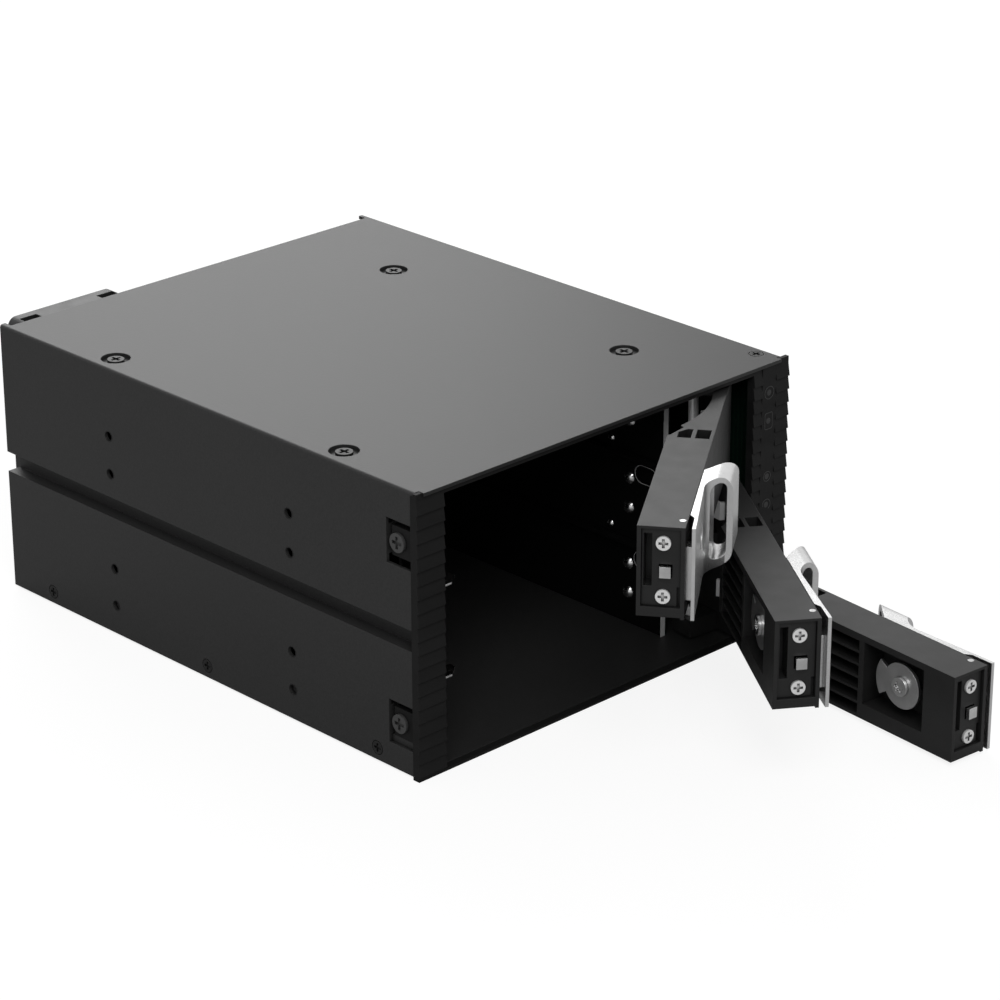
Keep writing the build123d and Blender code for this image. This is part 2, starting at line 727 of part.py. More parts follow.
lug_corner = lug_radius * sin(radians(45))
with BuildPart() as hinge_bracket:
    plate_y = (bracket_front_y, bracket_front_y + bracket_long)
    block((bracket_x, bracket_x + sheet), plate_y, (sheet, lug_levels[-1] + lug_thick))
    for level in lug_levels:
        with BuildSketch(Plane.XY.offset(level)):
            with Locations((hinge_x, hinge_y)):
                Circle(lug_radius)
            Polygon(
                (bracket_x, bracket_front_y),
                (hinge_x - lug_corner, hinge_y - lug_corner),
                (hinge_x + lug_corner, hinge_y + lug_corner),
                (bracket_x + sheet, bracket_front_y + 2 * lug_radius),
                (bracket_x, bracket_front_y + 2 * lug_radius),
                align=None,
            )
        extrude(amount=lug_thick)
    drum((hinge_x, hinge_y, cage_height / 2), hinge_rod_radius, cage_height, mode=Mode.SUBTRACT)
save(hinge_bracket.part, "hinge_bracket")

# Indicator board behind the right post, and its light pipes
with BuildPart() as indicator_board:
    board_x = (light_x - light_radius - board_thick, light_x - light_radius)
    board_top = light_heights[0] + 3 * light_radius
    block(board_x, (bezel_back_y, bezel_back_y + indicator_long), (board_top - indicator_tall, board_top))
save(indicator_board.part, "indicator_board")
pipe_long = bezel_deep + pipe_past_bezel
with BuildPart() as light_pipes:
    for height in light_heights:
        pipe_middle_y = front_y + icon_band_deep + pipe_long / 2
        drum((light_x, pipe_middle_y, height), light_radius, pipe_long, ALONG_Y)
save(light_pipes.part, "light_pipes")


# Doors. Each piece is built in the door's own frame, at the hinge axis on its underside
arc_end = radians(arm_end_angle)
arc_middle = radians((90 + arm_end_angle) / 2)
arm_inner = [(arm_inner_v * cos(a), arm_inner_v * sin(a)) for a in (arc_middle, arc_end)]
arm_outer = [(door_outer_v * cos(a), door_outer_v * sin(a)) for a in (arc_end, arc_middle)]
pocket_u = (lock_u - pocket_before_lock, lock_u + pocket_past_lock)
grille_u = (grille_start_u, pocket_u[0] - pocket_wall)
grille_count = int((door_tall - grille_low_z) / grille_pitch)
recess_floor_u = door_reach - recess_deep
recess_z = (recess_low_z, door_tall - recess_head)
side_slot_z = (side_slot_low_z, door_tall - side_slot_head)
end_screw_heights = (end_screw_low_z, door_tall - end_screw_drop)
bolt_z = ((door_tall - bolt_tall) / 2, (door_tall + bolt_tall) / 2)
channel_v = (bolt_v[0] - bolt_clear, bolt_v[1] + bolt_clear)
channel_z = (bolt_z[0] - bolt_clear, bolt_z[1] + bolt_clear)
lever_pin_u = door_reach - lever_pin_inset
lever_knuckle_z = (lever_knuckle_low_z, door_tall - lever_knuckle_head)
with BuildPart() as door_body:
    with BuildSketch(Plane.XY):
        with BuildLine():
            Polyline((0, door_outer_v), (door_reach, door_outer_v), (door_reach, door_inner_v))
            Polyline((door_reach, door_inner_v), (heel_u, door_inner_v), *heel_points)
            ThreePointArc(heel_points[-1], arm_scoop, (arm_straight_u, arm_inner_v))
            Line((arm_straight_u, arm_inner_v), (0, arm_inner_v))
            ThreePointArc((0, arm_inner_v), *arm_inner)
            Line(arm_inner[1], arm_outer[0])
            ThreePointArc(arm_outer[0], arm_outer[1], (0, door_outer_v))
        make_face()
    extrude(amount=door_tall)
    knuckle_u = (-lug_radius, lug_radius + rim_thick)
    for knuckle_z in ((0, knuckle_tall), (door_tall - top_knuckle_tall, door_tall)):
        block(knuckle_u, (-lug_radius, arm_inner_v + rim_thick / 2), knuckle_z)
    drum((0, 0, door_tall / 2), hinge_rod_radius + running_gap, door_tall, mode=Mode.SUBTRACT)
    block((rim_start_u, door_reach), (door_outer_v - rim_thick, door_outer_v), (-rim_drop, 0))
    # Grille and lock pocket in the inner face
    for gap in range(grille_count):
        gap_z = grille_low_z + gap * grille_pitch
        block(grille_u, (door_inner_v, pocket_floor_v), (gap_z, gap_z + grille_gap_tall), mode=Mode.SUBTRACT)
    pocket_z = (pocket_low_z, door_tall - pocket_head)
    block(pocket_u, (door_inner_v, pocket_floor_v), pocket_z, mode=Mode.SUBTRACT)
    lock_bore = lock_radius + running_gap
    drum((lock_u, door_outer_v, lock_z), lock_bore, 2 * door_outer_v, ALONG_Y, mode=Mode.SUBTRACT)
    # Slots in the top face
    top_z = (door_tall - top_slot_deep, door_tall)
    block(square_slot_u, square_slot_v, top_z, mode=Mode.SUBTRACT)
    with BuildSketch(Plane.XY.offset(top_z[0])):
        Polygon(*corner_slot, align=None)
    extrude(amount=top_slot_deep, mode=Mode.SUBTRACT)
    # End recess, side slot, bolt channel and lever slot
    block((recess_floor_u, door_reach), recess_v, recess_z, mode=Mode.SUBTRACT)
    side_slot_u = (recess_floor_u - side_slot_deep, recess_floor_u)
    block(side_slot_u, side_slot_v, side_slot_z, mode=Mode.SUBTRACT)
    block((pocket_u[1], recess_floor_u), channel_v, channel_z, mode=Mode.SUBTRACT)
    lever_slot_u = (lever_pin_u - lever_slot_before, lever_pin_u + lever_slot_past)
    lever_slot_z = (lever_knuckle_z[0] - lever_slot_clear, lever_knuckle_z[1] + lever_slot_clear)
    block(lever_slot_u, (lever_slot_floor_v, door_outer_v), lever_slot_z, mode=Mode.SUBTRACT)
    drum((lever_pin_u, lever_pin_v, door_tall / 2), lever_pin_radius, door_tall, mode=Mode.SUBTRACT)
    # Pilot holes of the end screws
    for height in end_screw_heights:
        pilot = (recess_floor_u, end_screw_v, height)
        drum(pilot, screw_radius, 2 * screw_long, ALONG_X, mode=Mode.SUBTRACT)

with BuildPart() as end_plate:
    plate_u = (recess_floor_u, recess_floor_u + end_plate_thick)
    plate_v = (recess_v[0] + fit_gap, recess_v[1] - fit_gap)
    plate_z = (recess_z[0] + fit_gap, recess_z[1] - fit_gap)
    block(plate_u, plate_v, plate_z)
    block(plate_u, side_slot_v, side_slot_z, mode=Mode.SUBTRACT)
    block(plate_u, channel_v, channel_z, mode=Mode.SUBTRACT)
    notch_v = (recess_v[1] - rim_thick, recess_v[1])
    block(plate_u, notch_v, (recess_z[0], side_slot_z[0]), mode=Mode.SUBTRACT)
    for height in end_screw_heights:
        screw_place = (plate_u[0], end_screw_v, height)
        drum(screw_place, screw_radius, 4 * end_plate_thick, ALONG_X, mode=Mode.SUBTRACT)

end_screw_places = [(plate_u[1], end_screw_v, height) for height in end_screw_heights]
end_screws = screws(end_screw_places, end_head_radius, end_head_tall, screw_long, (0, 90, 0))

with BuildPart() as latch_bolt:
    block((pocket_u[1] + bolt_root, door_reach + bolt_stand_out), bolt_v, bolt_z)

with BuildPart() as lock_cylinder:
    key_end_v = door_outer_v - lock_setback
    cylinder_long = key_end_v - cam_outer_v
    drum((lock_u, (key_end_v + cam_outer_v) / 2, lock_z), lock_radius, cylinder_long, ALONG_Y)
    with Locations((lock_u, key_end_v, lock_z)):
        Box(key_slot_wide, 2 * cylinder_long / 3, key_slot_long, mode=Mode.SUBTRACT)

# Lock cam: a disc with a sector lobe that points to the hinge
with BuildPart() as lock_cam:
    with BuildSketch(Plane.XZ.offset(-cam_outer_v)):
        with Locations((lock_u, lock_z)):
            Circle(cam_reach)
        lobe_half = cam_reach * sin(radians(cam_lobe_angle)) / cos(radians(cam_lobe_angle))
        lobe_tip_u = lock_u - cam_reach
        lobe = [(lock_u, lock_z), (lobe_tip_u, lock_z + lobe_half), (lobe_tip_u, lock_z - lobe_half)]
        Polygon(*lobe, align=None, mode=Mode.INTERSECT)
        with Locations((lock_u, lock_z)):
            Circle(cam_radius)
    extrude(amount=cam_thick)

with BuildPart() as cam_nut:
    nut_base_v = cam_outer_v - cam_thick
    drum((lock_u, nut_base_v - nut_tall / 2, lock_z), nut_radius, nut_tall, ALONG_Y)
    drum((lock_u, nut_base_v - nut_tall, lock_z), star_radius, nut_tall, ALONG_Y, mode=Mode.SUBTRACT)
    for tip in range(star_tips):
        angle = radians(tip * 360 / star_tips)
        tip_u = lock_u + star_radius * cos(angle)
        tip_place = (tip_u, nut_base_v - nut_tall, lock_z + star_radius * sin(angle))
        drum(tip_place, star_tip_radius, nut_tall, ALONG_Y, mode=Mode.SUBTRACT)

with BuildPart() as lever_pin:
    drum((lever_pin_u, lever_pin_v, door_tall / 2), lever_pin_radius, door_tall)

with BuildPart() as ejector_tab:
    with BuildSketch(Plane.XY.offset(ejector_z[0])):
        Polygon(
            ejector_tip,
            ejector_bend,
            (ejector_bend[0], arm_inner_v),
            (ejector_bend[0] - ejector_thick, arm_inner_v),
            (ejector_bend[0] - ejector_thick, ejector_bend[1] + ejector_thick / 2),
            (ejector_tip[0] - ejector_thick / 2, ejector_tip[1] + ejector_thick),
            align=None,
        )
    extrude(amount=ejector_z[1] - ejector_z[0])

# Lever: its plan is drawn in u and v, and its outer corners are rounded seen along u
plate_inner_v = door_outer_v + lever_clear
step_u = door_reach - lever_step_inset
crest_u = door_reach - loop_tip_inset + loop_deep
scoop_start = (crest_u, loop_out_v - loop_crest_thick)
scoop_middle = (crest_u + loop_scoop_middle[0], loop_scoop_middle[1])
scoop_end = (crest_u + loop_scoop_end[0], loop_scoop_end[1])
lever_tall = door_tall + rim_drop
with BuildPart() as lever:
    with BuildSketch(Plane.XY.offset(-rim_drop)):
        with BuildLine():
            ThreePointArc(scoop_start, scoop_middle, scoop_end)
            Polyline(
                scoop_end,
                (door_reach, lever_end_v),
                (door_reach, lever_end_v - lever_thick),
                (step_u + lever_step_long, lever_end_v - lever_thick - lever_clear),
                (step_u, plate_inner_v),
                (door_reach - loop_root_inset, plate_inner_v),
                (door_reach - loop_tip_inset, loop_out_v),
                (crest_u, loop_out_v),
                scoop_start,
            )
        make_face()
    extrude(amount=lever_tall)
    with BuildSketch(Plane.YZ):
        with Locations((loop_out_v / 2, door_tall - lever_tall / 2)):
            RectangleRounded(loop_out_v, lever_tall, loop_corner)
    extrude(amount=door_reach, mode=Mode.INTERSECT)
    # Finger loop
    loop_z = (loop_foot, door_tall - loop_rim)
    with BuildSketch(Plane.YZ.offset(door_reach - loop_tip_inset)):
        with Locations((loop_out_v - loop_rim - loop_wide / 2, sum(loop_z) / 2)):
            SlotOverall(loop_z[1] - loop_z[0], loop_wide, rotation=90)
    extrude(amount=loop_root_inset, mode=Mode.SUBTRACT)
    # Knuckle block around the pin, and the key hole
    knuckle_u = (lever_pin_u - lever_knuckle_radius, lever_pin_u + lever_knuckle_radius)
    block(knuckle_u, (lever_pin_v, lever_end_v - lever_thick), lever_knuckle_z)
    knuckle_middle = sum(lever_knuckle_z) / 2
    knuckle_long = lever_knuckle_z[1] - lever_knuckle_z[0]
    drum((lever_pin_u, lever_pin_v, knuckle_middle), lever_knuckle_radius, knuckle_long)
    pin_bore = lever_pin_radius + running_gap
    drum((lever_pin_u, lever_pin_v, knuckle_middle), pin_bore, knuckle_long, mode=Mode.SUBTRACT)
    drum((lock_u, lever_end_v, lock_z), key_hole_radius, 2 * lever_end_v, ALONG_Y, mode=Mode.SUBTRACT)

door_pieces = {
    "door_body": door_body.part,
    "end_plate": end_plate.part,
    "end_screws": end_screws,
    "latch_bolt": latch_bolt.part,
    "lock_cylinder": lock_cylinder.part,
    "lock_cam": lock_cam.part,
    "cam_nut": cam_nut.part,
    "lever_pin": lever_pin.part,
    "ejector_tab": ejector_tab.part,
    "lever": lever.part,
}
for level, (door, angle) in enumerate(door_angles.items()):
    opening = radians(angle)
    underside = (hinge_x, hinge_y, door_low_z + level * door_pitch)
    door_frame = Plane(origin=underside, x_dir=(-cos(opening), -sin(opening), 0), z_dir=(0, 0, 1))
    for name, piece in door_pieces.items():
        save(piece.moved(door_frame.location), f"{door}_{name}")
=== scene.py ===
import bpy
import bmesh
import json
from math import cos, radians, sin
from mathutils import Matrix, Vector


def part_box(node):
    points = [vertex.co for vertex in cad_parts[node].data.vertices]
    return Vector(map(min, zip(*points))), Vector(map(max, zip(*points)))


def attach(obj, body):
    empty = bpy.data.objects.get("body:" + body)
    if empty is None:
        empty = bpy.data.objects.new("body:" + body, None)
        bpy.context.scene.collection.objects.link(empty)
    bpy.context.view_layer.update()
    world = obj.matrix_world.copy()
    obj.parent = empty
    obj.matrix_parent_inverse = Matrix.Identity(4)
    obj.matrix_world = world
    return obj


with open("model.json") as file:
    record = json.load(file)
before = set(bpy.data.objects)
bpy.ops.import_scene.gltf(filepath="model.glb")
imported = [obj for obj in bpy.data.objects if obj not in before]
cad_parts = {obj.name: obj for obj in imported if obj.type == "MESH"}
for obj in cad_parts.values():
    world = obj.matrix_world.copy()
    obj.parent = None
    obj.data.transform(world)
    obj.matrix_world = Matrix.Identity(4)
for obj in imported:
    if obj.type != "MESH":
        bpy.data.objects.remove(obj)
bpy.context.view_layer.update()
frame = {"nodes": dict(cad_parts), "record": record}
MM = 0.001

# Camera, as the photograph was taken
CAMERA_AZIMUTH = -44.20
CAMERA_ELEVATION = 23.09
CAMERA_ROLL = -0.13
CAMERA_PLACE = (-0.6679, -0.7338, 0.4574)
FOCAL_PIXELS = 3603.6
IMAGE_PIXELS = 1000
SENSOR_MM = 36.0


def make_camera():
    azimuth, elevation = radians(CAMERA_AZIMUTH), radians(CAMERA_ELEVATION)
    level = cos(elevation)
    back = Vector((sin(azimuth) * level, -cos(azimuth) * level, sin(elevation)))
    right = Vector((0, 0, 1)).cross(back).normalized()
    up = back.cross(right)
    roll = radians(CAMERA_ROLL)
    axis_x = cos(roll) * right + sin(roll) * up
    axis_y = cos(roll) * up - sin(roll) * right
    data = bpy.data.cameras.new("camera")
    data.sensor_width = SENSOR_MM
    data.lens = FOCAL_PIXELS / IMAGE_PIXELS * SENSOR_MM
    camera = bpy.data.objects.new("camera", data)
    turn = Matrix((axis_x, axis_y, back)).transposed().to_4x4()
    camera.matrix_world = Matrix.Translation(CAMERA_PLACE) @ turn
    bpy.context.scene.collection.objects.link(camera)
    bpy.context.scene.camera = camera


# Shader building blocks. Noise rarely leaves the range from NOISE_LOW to NOISE_HIGH
NOISE_LOW = 0.3
NOISE_HIGH = 0.7
# The painted shade in creases follows ambient occlusion between these two levels
CREASE_SHUT = 0.25
CREASE_OPEN = 0.85
CREASE_SAMPLES = 6
EDGE_SAMPLES = 4


def grey(level):
    return (level, level, level)


def tinted(level, tint):
    return tuple(level * part for part in tint)


class Shader:
    """A material and short calls that add its nodes. Sizes are in metres."""

    def __init__(self, name):
        self.material = bpy.data.materials.new(name)
        self.material.use_nodes = True
        self.nodes = self.material.node_tree.nodes
        self.links = self.material.node_tree.links
        self.nodes.clear()
        self.output = self.nodes.new("ShaderNodeOutputMaterial")
        self.place = self.nodes.new("ShaderNodeTexCoord").outputs["Object"]

    def node(self, kind, **sockets):
        """A node whose named sockets are linked, or set where they get a plain value."""
        made = self.nodes.new(kind)
        for name, value in sockets.items():
            socket = made.inputs[name.replace("_", " ")]
            if isinstance(value, bpy.types.NodeSocket):
                self.links.new(value, socket)
            else:
                socket.default_value = value
        return made

    def stretch(self, scale):
        return self.node("ShaderNodeMapping", Vector=self.place, Scale=scale).outputs["Vector"]

    def noise(self, size, detail=3.0, place=None):
        """Noise whose features are about size across."""
        where = place or self.place
        made = self.node("ShaderNodeTexNoise", Vector=where, Scale=1.0 / size, Detail=detail)
        return made.outputs["Fac"]

    def remap(self, value, low, high, start=NOISE_LOW, end=NOISE_HIGH):
        """The value's range from start to end, spread from low to high."""
        made = self.node(
            "ShaderNodeMapRange", Value=value, From_Min=start, From_Max=end, To_Min=low, To_Max=high
        )
        return made.outputs["Result"]

    def shades(self, value, dark, light):
        """A noise value as a colour between the two."""
        ramp = self.node("ShaderNodeValToRGB", Fac=value)
        stops = ((NOISE_LOW, dark), (NOISE_HIGH, light))
        for element, (position, colour) in zip(ramp.color_ramp.elements, stops):
            element.position = position
            element.color = (*colour, 1.0)
        return ramp.outputs["Color"]

    def scaled(self, colour, factor):
        made = self.nodes.new("ShaderNodeVectorMath")
        made.operation = "SCALE"
        self.links.new(colour, made.inputs["Vector"])
        self.links.new(factor, made.inputs["Scale"])
        return made.outputs["Vector"]

    def painted_crease_shade(self, colour, reach, depth):
        """Painted shade: the colour, darkened by an ambient occlusion node down to the given factor
        in creases that lie within reach.
        """
        near = self.node("ShaderNodeAmbientOcclusion", Distance=reach)
        near.samples = CREASE_SAMPLES
        shade = self.remap(near.outputs["AO"], depth, 1.0, start=CREASE_SHUT, end=CREASE_OPEN)
        return self.scaled(colour, shade)

    def soft_edges(self, radius):
        made = self.node("ShaderNodeBevel", Radius=radius)
        made.samples = EDGE_SAMPLES
        return made.outputs["Normal"]

    def bump(self, height, strength, distance, **normal):
        made = self.node(
            "ShaderNodeBump", Height=height, Strength=strength, Distance=distance, **normal
        )
        return made.outputs["Normal"]

    def finish(self, **sockets):
        surface = self.node("ShaderNodeBsdfPrincipled", **sockets)
        self.links.new(surface.outputs["BSDF"], self.output.inputs["Surface"])
        return self.material


# Kinds of material
def coated_metal(name, tone, grain, roughness, specular=0.32, edge=0.25 * MM, shade_reach=1.0 * MM):
    """Powder coat: a fine orange peel with very slow changes of tone and gloss, and painted shade
    in its creases.
    """
    s = Shader(name)
    speckle = s.noise(grain, detail=2.0)
    drift = s.remap(s.noise(60 * MM, detail=2.0), low=0.97, high=1.03)
    fleck = s.shades(speckle, dark=grey(0.84 * tone), light=grey(1.16 * tone))
    # Painted shade: the coat's colour darkens in creases
    shaded = s.painted_crease_shade(s.scaled(fleck, drift), reach=shade_reach, depth=0.3)
    gloss = s.remap(speckle, low=roughness - 0.02, high=roughness + 0.02)
    normal = s.bump(speckle, strength=0.35, distance=0.05 * MM, Normal=s.soft_edges(edge))
    return s.finish(
        Base_Color=shaded, Roughness=gloss, Specular_IOR_Level=specular, Normal=normal
    )


def moulded(name, dark, light, roughness, specular=0.4, tint=(1, 1, 1)):
    """Moulded plastic with a spark-eroded texture and faint flow marks, and painted shade in its
    creases.
    """
    s = Shader(name)
    texture = s.noise(0.22 * MM)
    flow = s.noise(1.0, place=s.stretch((30, 30, 140)))
    colour = s.shades(flow, dark=tinted(dark, tint), light=tinted(light, tint))
    # Painted shade: the plastic's colour darkens in creases and under ribs
    shaded = s.painted_crease_shade(colour, reach=1.2 * MM, depth=0.25)
    gloss = s.remap(s.noise(6 * MM, detail=4.0), low=roughness - 0.03, high=roughness + 0.03)
    edges = s.soft_edges(0.2 * MM)
    normal = s.bump(texture, strength=0.18, distance=0.04 * MM, Normal=edges)
    return s.finish(
        Base_Color=shaded, Roughness=gloss, Specular_IOR_Level=specular, Normal=normal
    )


def bare_metal(name, dark, light, roughness, metallic=1.0, brush=0.12, shade_reach=0.8 * MM, depth=0.04):
    """Bright metal with brushed lines and small smudges, and painted shade in its recesses."""
    s = Shader(name)
    lines = s.noise(0.6 * MM, detail=4.0, place=s.stretch((1, 1, 60)))
    smudge = s.noise(5 * MM, detail=5.0)
    colour = s.shades(smudge, dark=grey(dark), light=grey(light))
    # Painted shade: the metal's colour darkens in recesses
    shaded = s.painted_crease_shade(colour, reach=shade_reach, depth=depth)
    gloss = s.remap(lines, low=roughness - 0.05, high=roughness + 0.07)
    edges = s.soft_edges(0.15 * MM)
    normal = s.bump(lines, strength=brush, distance=0.02 * MM, Normal=edges)
    return s.finish(Base_Color=shaded, Metallic=metallic, Roughness=gloss, Normal=normal)


def circuit(name):
    """Solder mask over a grid of copper tracks."""
    s = Shader(name)
    tracks = s.node("ShaderNodeTexBrick", Vector=s.place, Scale=160.0, Mortar_Size=0.03)
    tone = s.noise(4 * MM, detail=4.0)
    mask = s.shades(tone, dark=(0.003, 0.009, 0.006), light=(0.004, 0.013, 0.008))
    mix = s.node("ShaderNodeMix")
    mix.data_type = "RGBA"
    s.links.new(tracks.outputs["Fac"], mix.inputs["Factor"])
    # This node's sockets share their names, so the two colours and the result go by number
    s.links.new(mask, mix.inputs[6])
    mix.inputs[7].default_value = (0.006, 0.020, 0.012, 1)
    normal = s.bump(tracks.outputs["Fac"], strength=0.3, distance=0.05 * MM)
    return s.finish(
        Base_Color=mix.outputs[2], Roughness=0.32, Specular_IOR_Level=0.5, Normal=normal
    )


def screw(name, tone, specular):
    """Black oxide, on small heads, with painted shade in their narrow recesses."""
    return coated_metal(
        name, tone, 0.3 * MM, 0.4, specular=specular, edge=0.12 * MM, shade_reach=0.9 * MM
    )


def make_materials():
    """A material for each slot of the record, and three that only some pieces have."""
    looks = {
        "painted_steel": (coated_metal, dict(tone=0.028, grain=0.6 * MM, roughness=0.44)),
        # Its own black coat, made far darker and duller than the outer coat as painted shade inside
        # the cage
        "inner_steel": (
            coated_metal, dict(tone=0.004, grain=0.4 * MM, roughness=0.6, specular=0.1)
        ),
        "bezel_plastic": (moulded, dict(dark=0.010, light=0.015, roughness=0.55, specular=0.14)),
        "door_plastic": (moulded, dict(dark=0.013, light=0.018, roughness=0.44, specular=0.34)),
        "bright_steel": (bare_metal, dict(dark=0.62, light=0.85, roughness=0.2)),
        # Painted shade down to black in the cross recesses of these screw heads
        "zinc_screw": (
            bare_metal,
            dict(dark=0.93, light=0.99, roughness=0.4, metallic=0.2, shade_reach=1.6 * MM, depth=0.0),
        ),
        "silver_lever": (
            bare_metal, dict(dark=0.74, light=0.84, roughness=0.28, brush=0.06, depth=0.4)
        ),
        "chrome_lock": (bare_metal, dict(dark=0.75, light=0.88, roughness=0.14)),
        "cam_zinc": (
            bare_metal, dict(dark=0.42, light=0.55, roughness=0.36, brush=0.25, depth=0.3)
        ),
        "black_screw": (screw, dict(tone=0.020, specular=0.22)),
        "circuit_board": (circuit, {}),
        "connector_black": (moulded, dict(dark=0.010, light=0.016, roughness=0.35)),
        "connector_white": (
            moulded, dict(dark=0.55, light=0.66, roughness=0.38, tint=(1.0, 0.97, 0.88))
        ),
        "fan_plastic": (moulded, dict(dark=0.020, light=0.030, roughness=0.45)),
        "rotor_plastic": (moulded, dict(dark=0.014, light=0.024, roughness=0.38)),
        "light_pipe": (moulded, dict(dark=0.02, light=0.03, roughness=0.3)),
        "icon_print": (moulded, dict(dark=0.030, light=0.040, roughness=0.5)),
        "plated": (
            bare_metal,
            dict(dark=0.88, light=0.96, roughness=0.35, metallic=0.35, shade_reach=0.6 * MM, depth=0.3),
        ),
        # A lighter, glossier copy of black_screw: painted light on the bezel screws
        "grey_screw": (screw, dict(tone=0.060, specular=0.5)),
    }
    return {name: make(name, **values) for name, (make, values) in looks.items()}


# Nodes whose material differs from that of their slot: a finish of their own, and for the bezel
# screws a lighter copy of the screw material as painted light
OWN_FINISH_AND_PAINTED_LIGHT = {
    "hinge_rod": "plated",
    "bezel_screws": "grey_screw",
    **{f"{door}_ejector_tab": "plated" for door in ("bottom", "middle", "top")},
}


def dress_nodes(materials):
    """Every CAD node takes the material of its slot in the record, unless it has a finish of its
    own; the bezel screws take a lighter copy as painted light.
    """
    slots = {row["node"]: row["material_slot"] for row in frame["record"]["subparts"]}
    for name, obj in frame["nodes"].items():
        obj.data.materials.clear()
        obj.data.materials.append(materials[OWN_FINISH_AND_PAINTED_LIGHT.get(name, slots[name])])


# Small pieces that only the scene has. From here on, sizes and places are in millimetres
def box_mm(node):
    """A node's lowest and highest corners, to the hundredth that the CAD is drawn in."""
    return [[round(c / MM, 2) for c in corner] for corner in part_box(node)]


LIGHTS_LOW, LIGHTS_HIGH = box_mm("light_pipes")
BAND_FRONT_Y = LIGHTS_LOW[1]
BAND_MIDDLE_X = (LIGHTS_LOW[0] + LIGHTS_HIGH[0]) / 2
ICON_LINE = 0.28
ICON_RISE = 0.06
RING_Z, RING_RADIUS = 76.3, 1.9
DRIVE_Z, DRIVE_HALF_WIDE, DRIVE_HALF_TALL, DRIVE_CORNER = 67.5, 1.6, 2.5, 0.6
SMALL_RING_Z, SMALL_RING_RADIUS = 50.0, 1.5
HOOK_Z, HOOK_RADIUS, HOOK_START, HOOK_END = 41.0, 1.7, -60, 190

GUIDE_LOW, GUIDE_HIGH = box_mm("right_guide")
GUIDE_FRONT_Y = GUIDE_LOW[1]
GUIDE_INNER_X = 40.7
GUIDE_OUTER_X = 41.7
EDGE_LOW_Z = GUIDE_LOW[2]
EDGE_HIGH_Z = GUIDE_HIGH[2] - 0.1
# EDGE_LIP carries the bright edge past the inner face, a painted highlight of the rounded corner
EDGE_LIP = 0.8
EDGE_THICK = 0.2

BAY_PITCH = 27.5
WINDOW_MIDDLE_Y = -66.5
WINDOW_LOWEST_Z = 22.8
WINDOW_HALF_LONG = 4.5
WINDOW_HALF_TALL = 2.8
RIM_WIDE = 0.22
RIM_RISE = 0.05

RING_STEPS = 36
HOLE_RIM_STEPS = 28
HOOK_STEPS = 20
CORNER_STEPS = 5


def add_piece(name, verts, faces, material, slot):
    """A mesh in millimetres that rides on the cage."""
    data = bpy.data.meshes.new(name)
    data.from_pydata([tuple(c * MM for c in v) for v in verts], [], faces)
    made = bmesh.new()
    made.from_mesh(data)
    bmesh.ops.recalc_face_normals(made, faces=made.faces)
    made.to_mesh(data)
    made.free()
    data.materials.append(material)
    piece = bpy.data.objects.new(name, data)
    bpy.context.scene.collection.objects.link(piece)
    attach(piece, "cage")


def arc(middle, radius, start, end, steps):
    angles = [radians(start + (end - start) * k / steps) for k in range(steps + 1)]
    return [(middle[0] + radius * cos(a), middle[1] + radius * sin(a)) for a in angles]


def ring(middle, radius, steps=RING_STEPS):
    return arc(middle, radius, 0, 360, steps)[:-1]


def rounded_frame(middle, half_wide, half_tall, corner):
    path = []
    for turn, (sx, sz) in enumerate(((1, 1), (-1, 1), (-1, -1), (1, -1))):
        spot = (middle[0] + sx * (half_wide - corner), middle[1] + sz * (half_tall - corner))
        path += arc(spot, corner, 90 * turn, 90 * turn + 90, CORNER_STEPS)
    return path


def ribbon(path, wide, closed):
    """A flat band along a path in the plane, as pairs of an inner and an outer point."""
    pairs = []
    count = len(path)
    for k, here in enumerate(path):
        before = path[k - 1] if closed or k else here
        after = path[(k + 1) % count] if closed or k < count - 1 else here
        along = Vector((after[0] - before[0], after[1] - before[1])).normalized()
        dx, dy = along[1] * wide / 2, -along[0] * wide / 2
        pairs.append(((here[0] - dx, here[1] - dy), (here[0] + dx, here[1] + dy)))
    return pairs


def raised_line(path, wide, lift, closed=True):
    """A low solid along a path. lift turns a point of the plane and a level into a place."""
    pairs = ribbon(path, wide, closed)
    verts = []
    for inner, outer in pairs:
        verts += [lift(inner, 0), lift(outer, 0), lift(outer, 1), lift(inner, 1)]
    faces = []
    count = len(pairs)
    for k in range(count if closed else count - 1):
        a, b = 4 * k, 4 * ((k + 1) % count)
        faces += [(a + i, a + (i + 1) % 4, b + (i + 1) % 4, b + i) for i in range(4)]
    if not closed:
        last = 4 * (count - 1)
        faces += [(0, 1, 2, 3), (last + 3, last + 2, last + 1, last)]
    return verts, faces


def merged(solids):
    verts, faces = [], []
    for more_verts, more_faces in solids:
        start = len(verts)
        verts += more_verts
        faces += [tuple(start + i for i in face) for face in more_faces]
    return verts, faces


def make_icons(material):
    """Generic marks round the indicator lights: a ring, a drive, a small ring and a hook."""

    def lift(point, level):
        return (point[0], BAND_FRONT_Y - ICON_RISE * level, point[1])

    x = BAND_MIDDLE_X
    loops = [
        ring((x, RING_Z), RING_RADIUS),
        rounded_frame((x, DRIVE_Z), DRIVE_HALF_WIDE, DRIVE_HALF_TALL, DRIVE_CORNER),
        ring((x, SMALL_RING_Z), SMALL_RING_RADIUS),
    ]
    hook = arc((x, HOOK_Z), HOOK_RADIUS, HOOK_START, HOOK_END, HOOK_STEPS)
    solids = [raised_line(path, ICON_LINE, lift) for path in loops]
    solids.append(raised_line(hook, ICON_LINE, lift, closed=False))
    add_piece("indicator_icons", *merged(solids), material, "bezel_plastic")


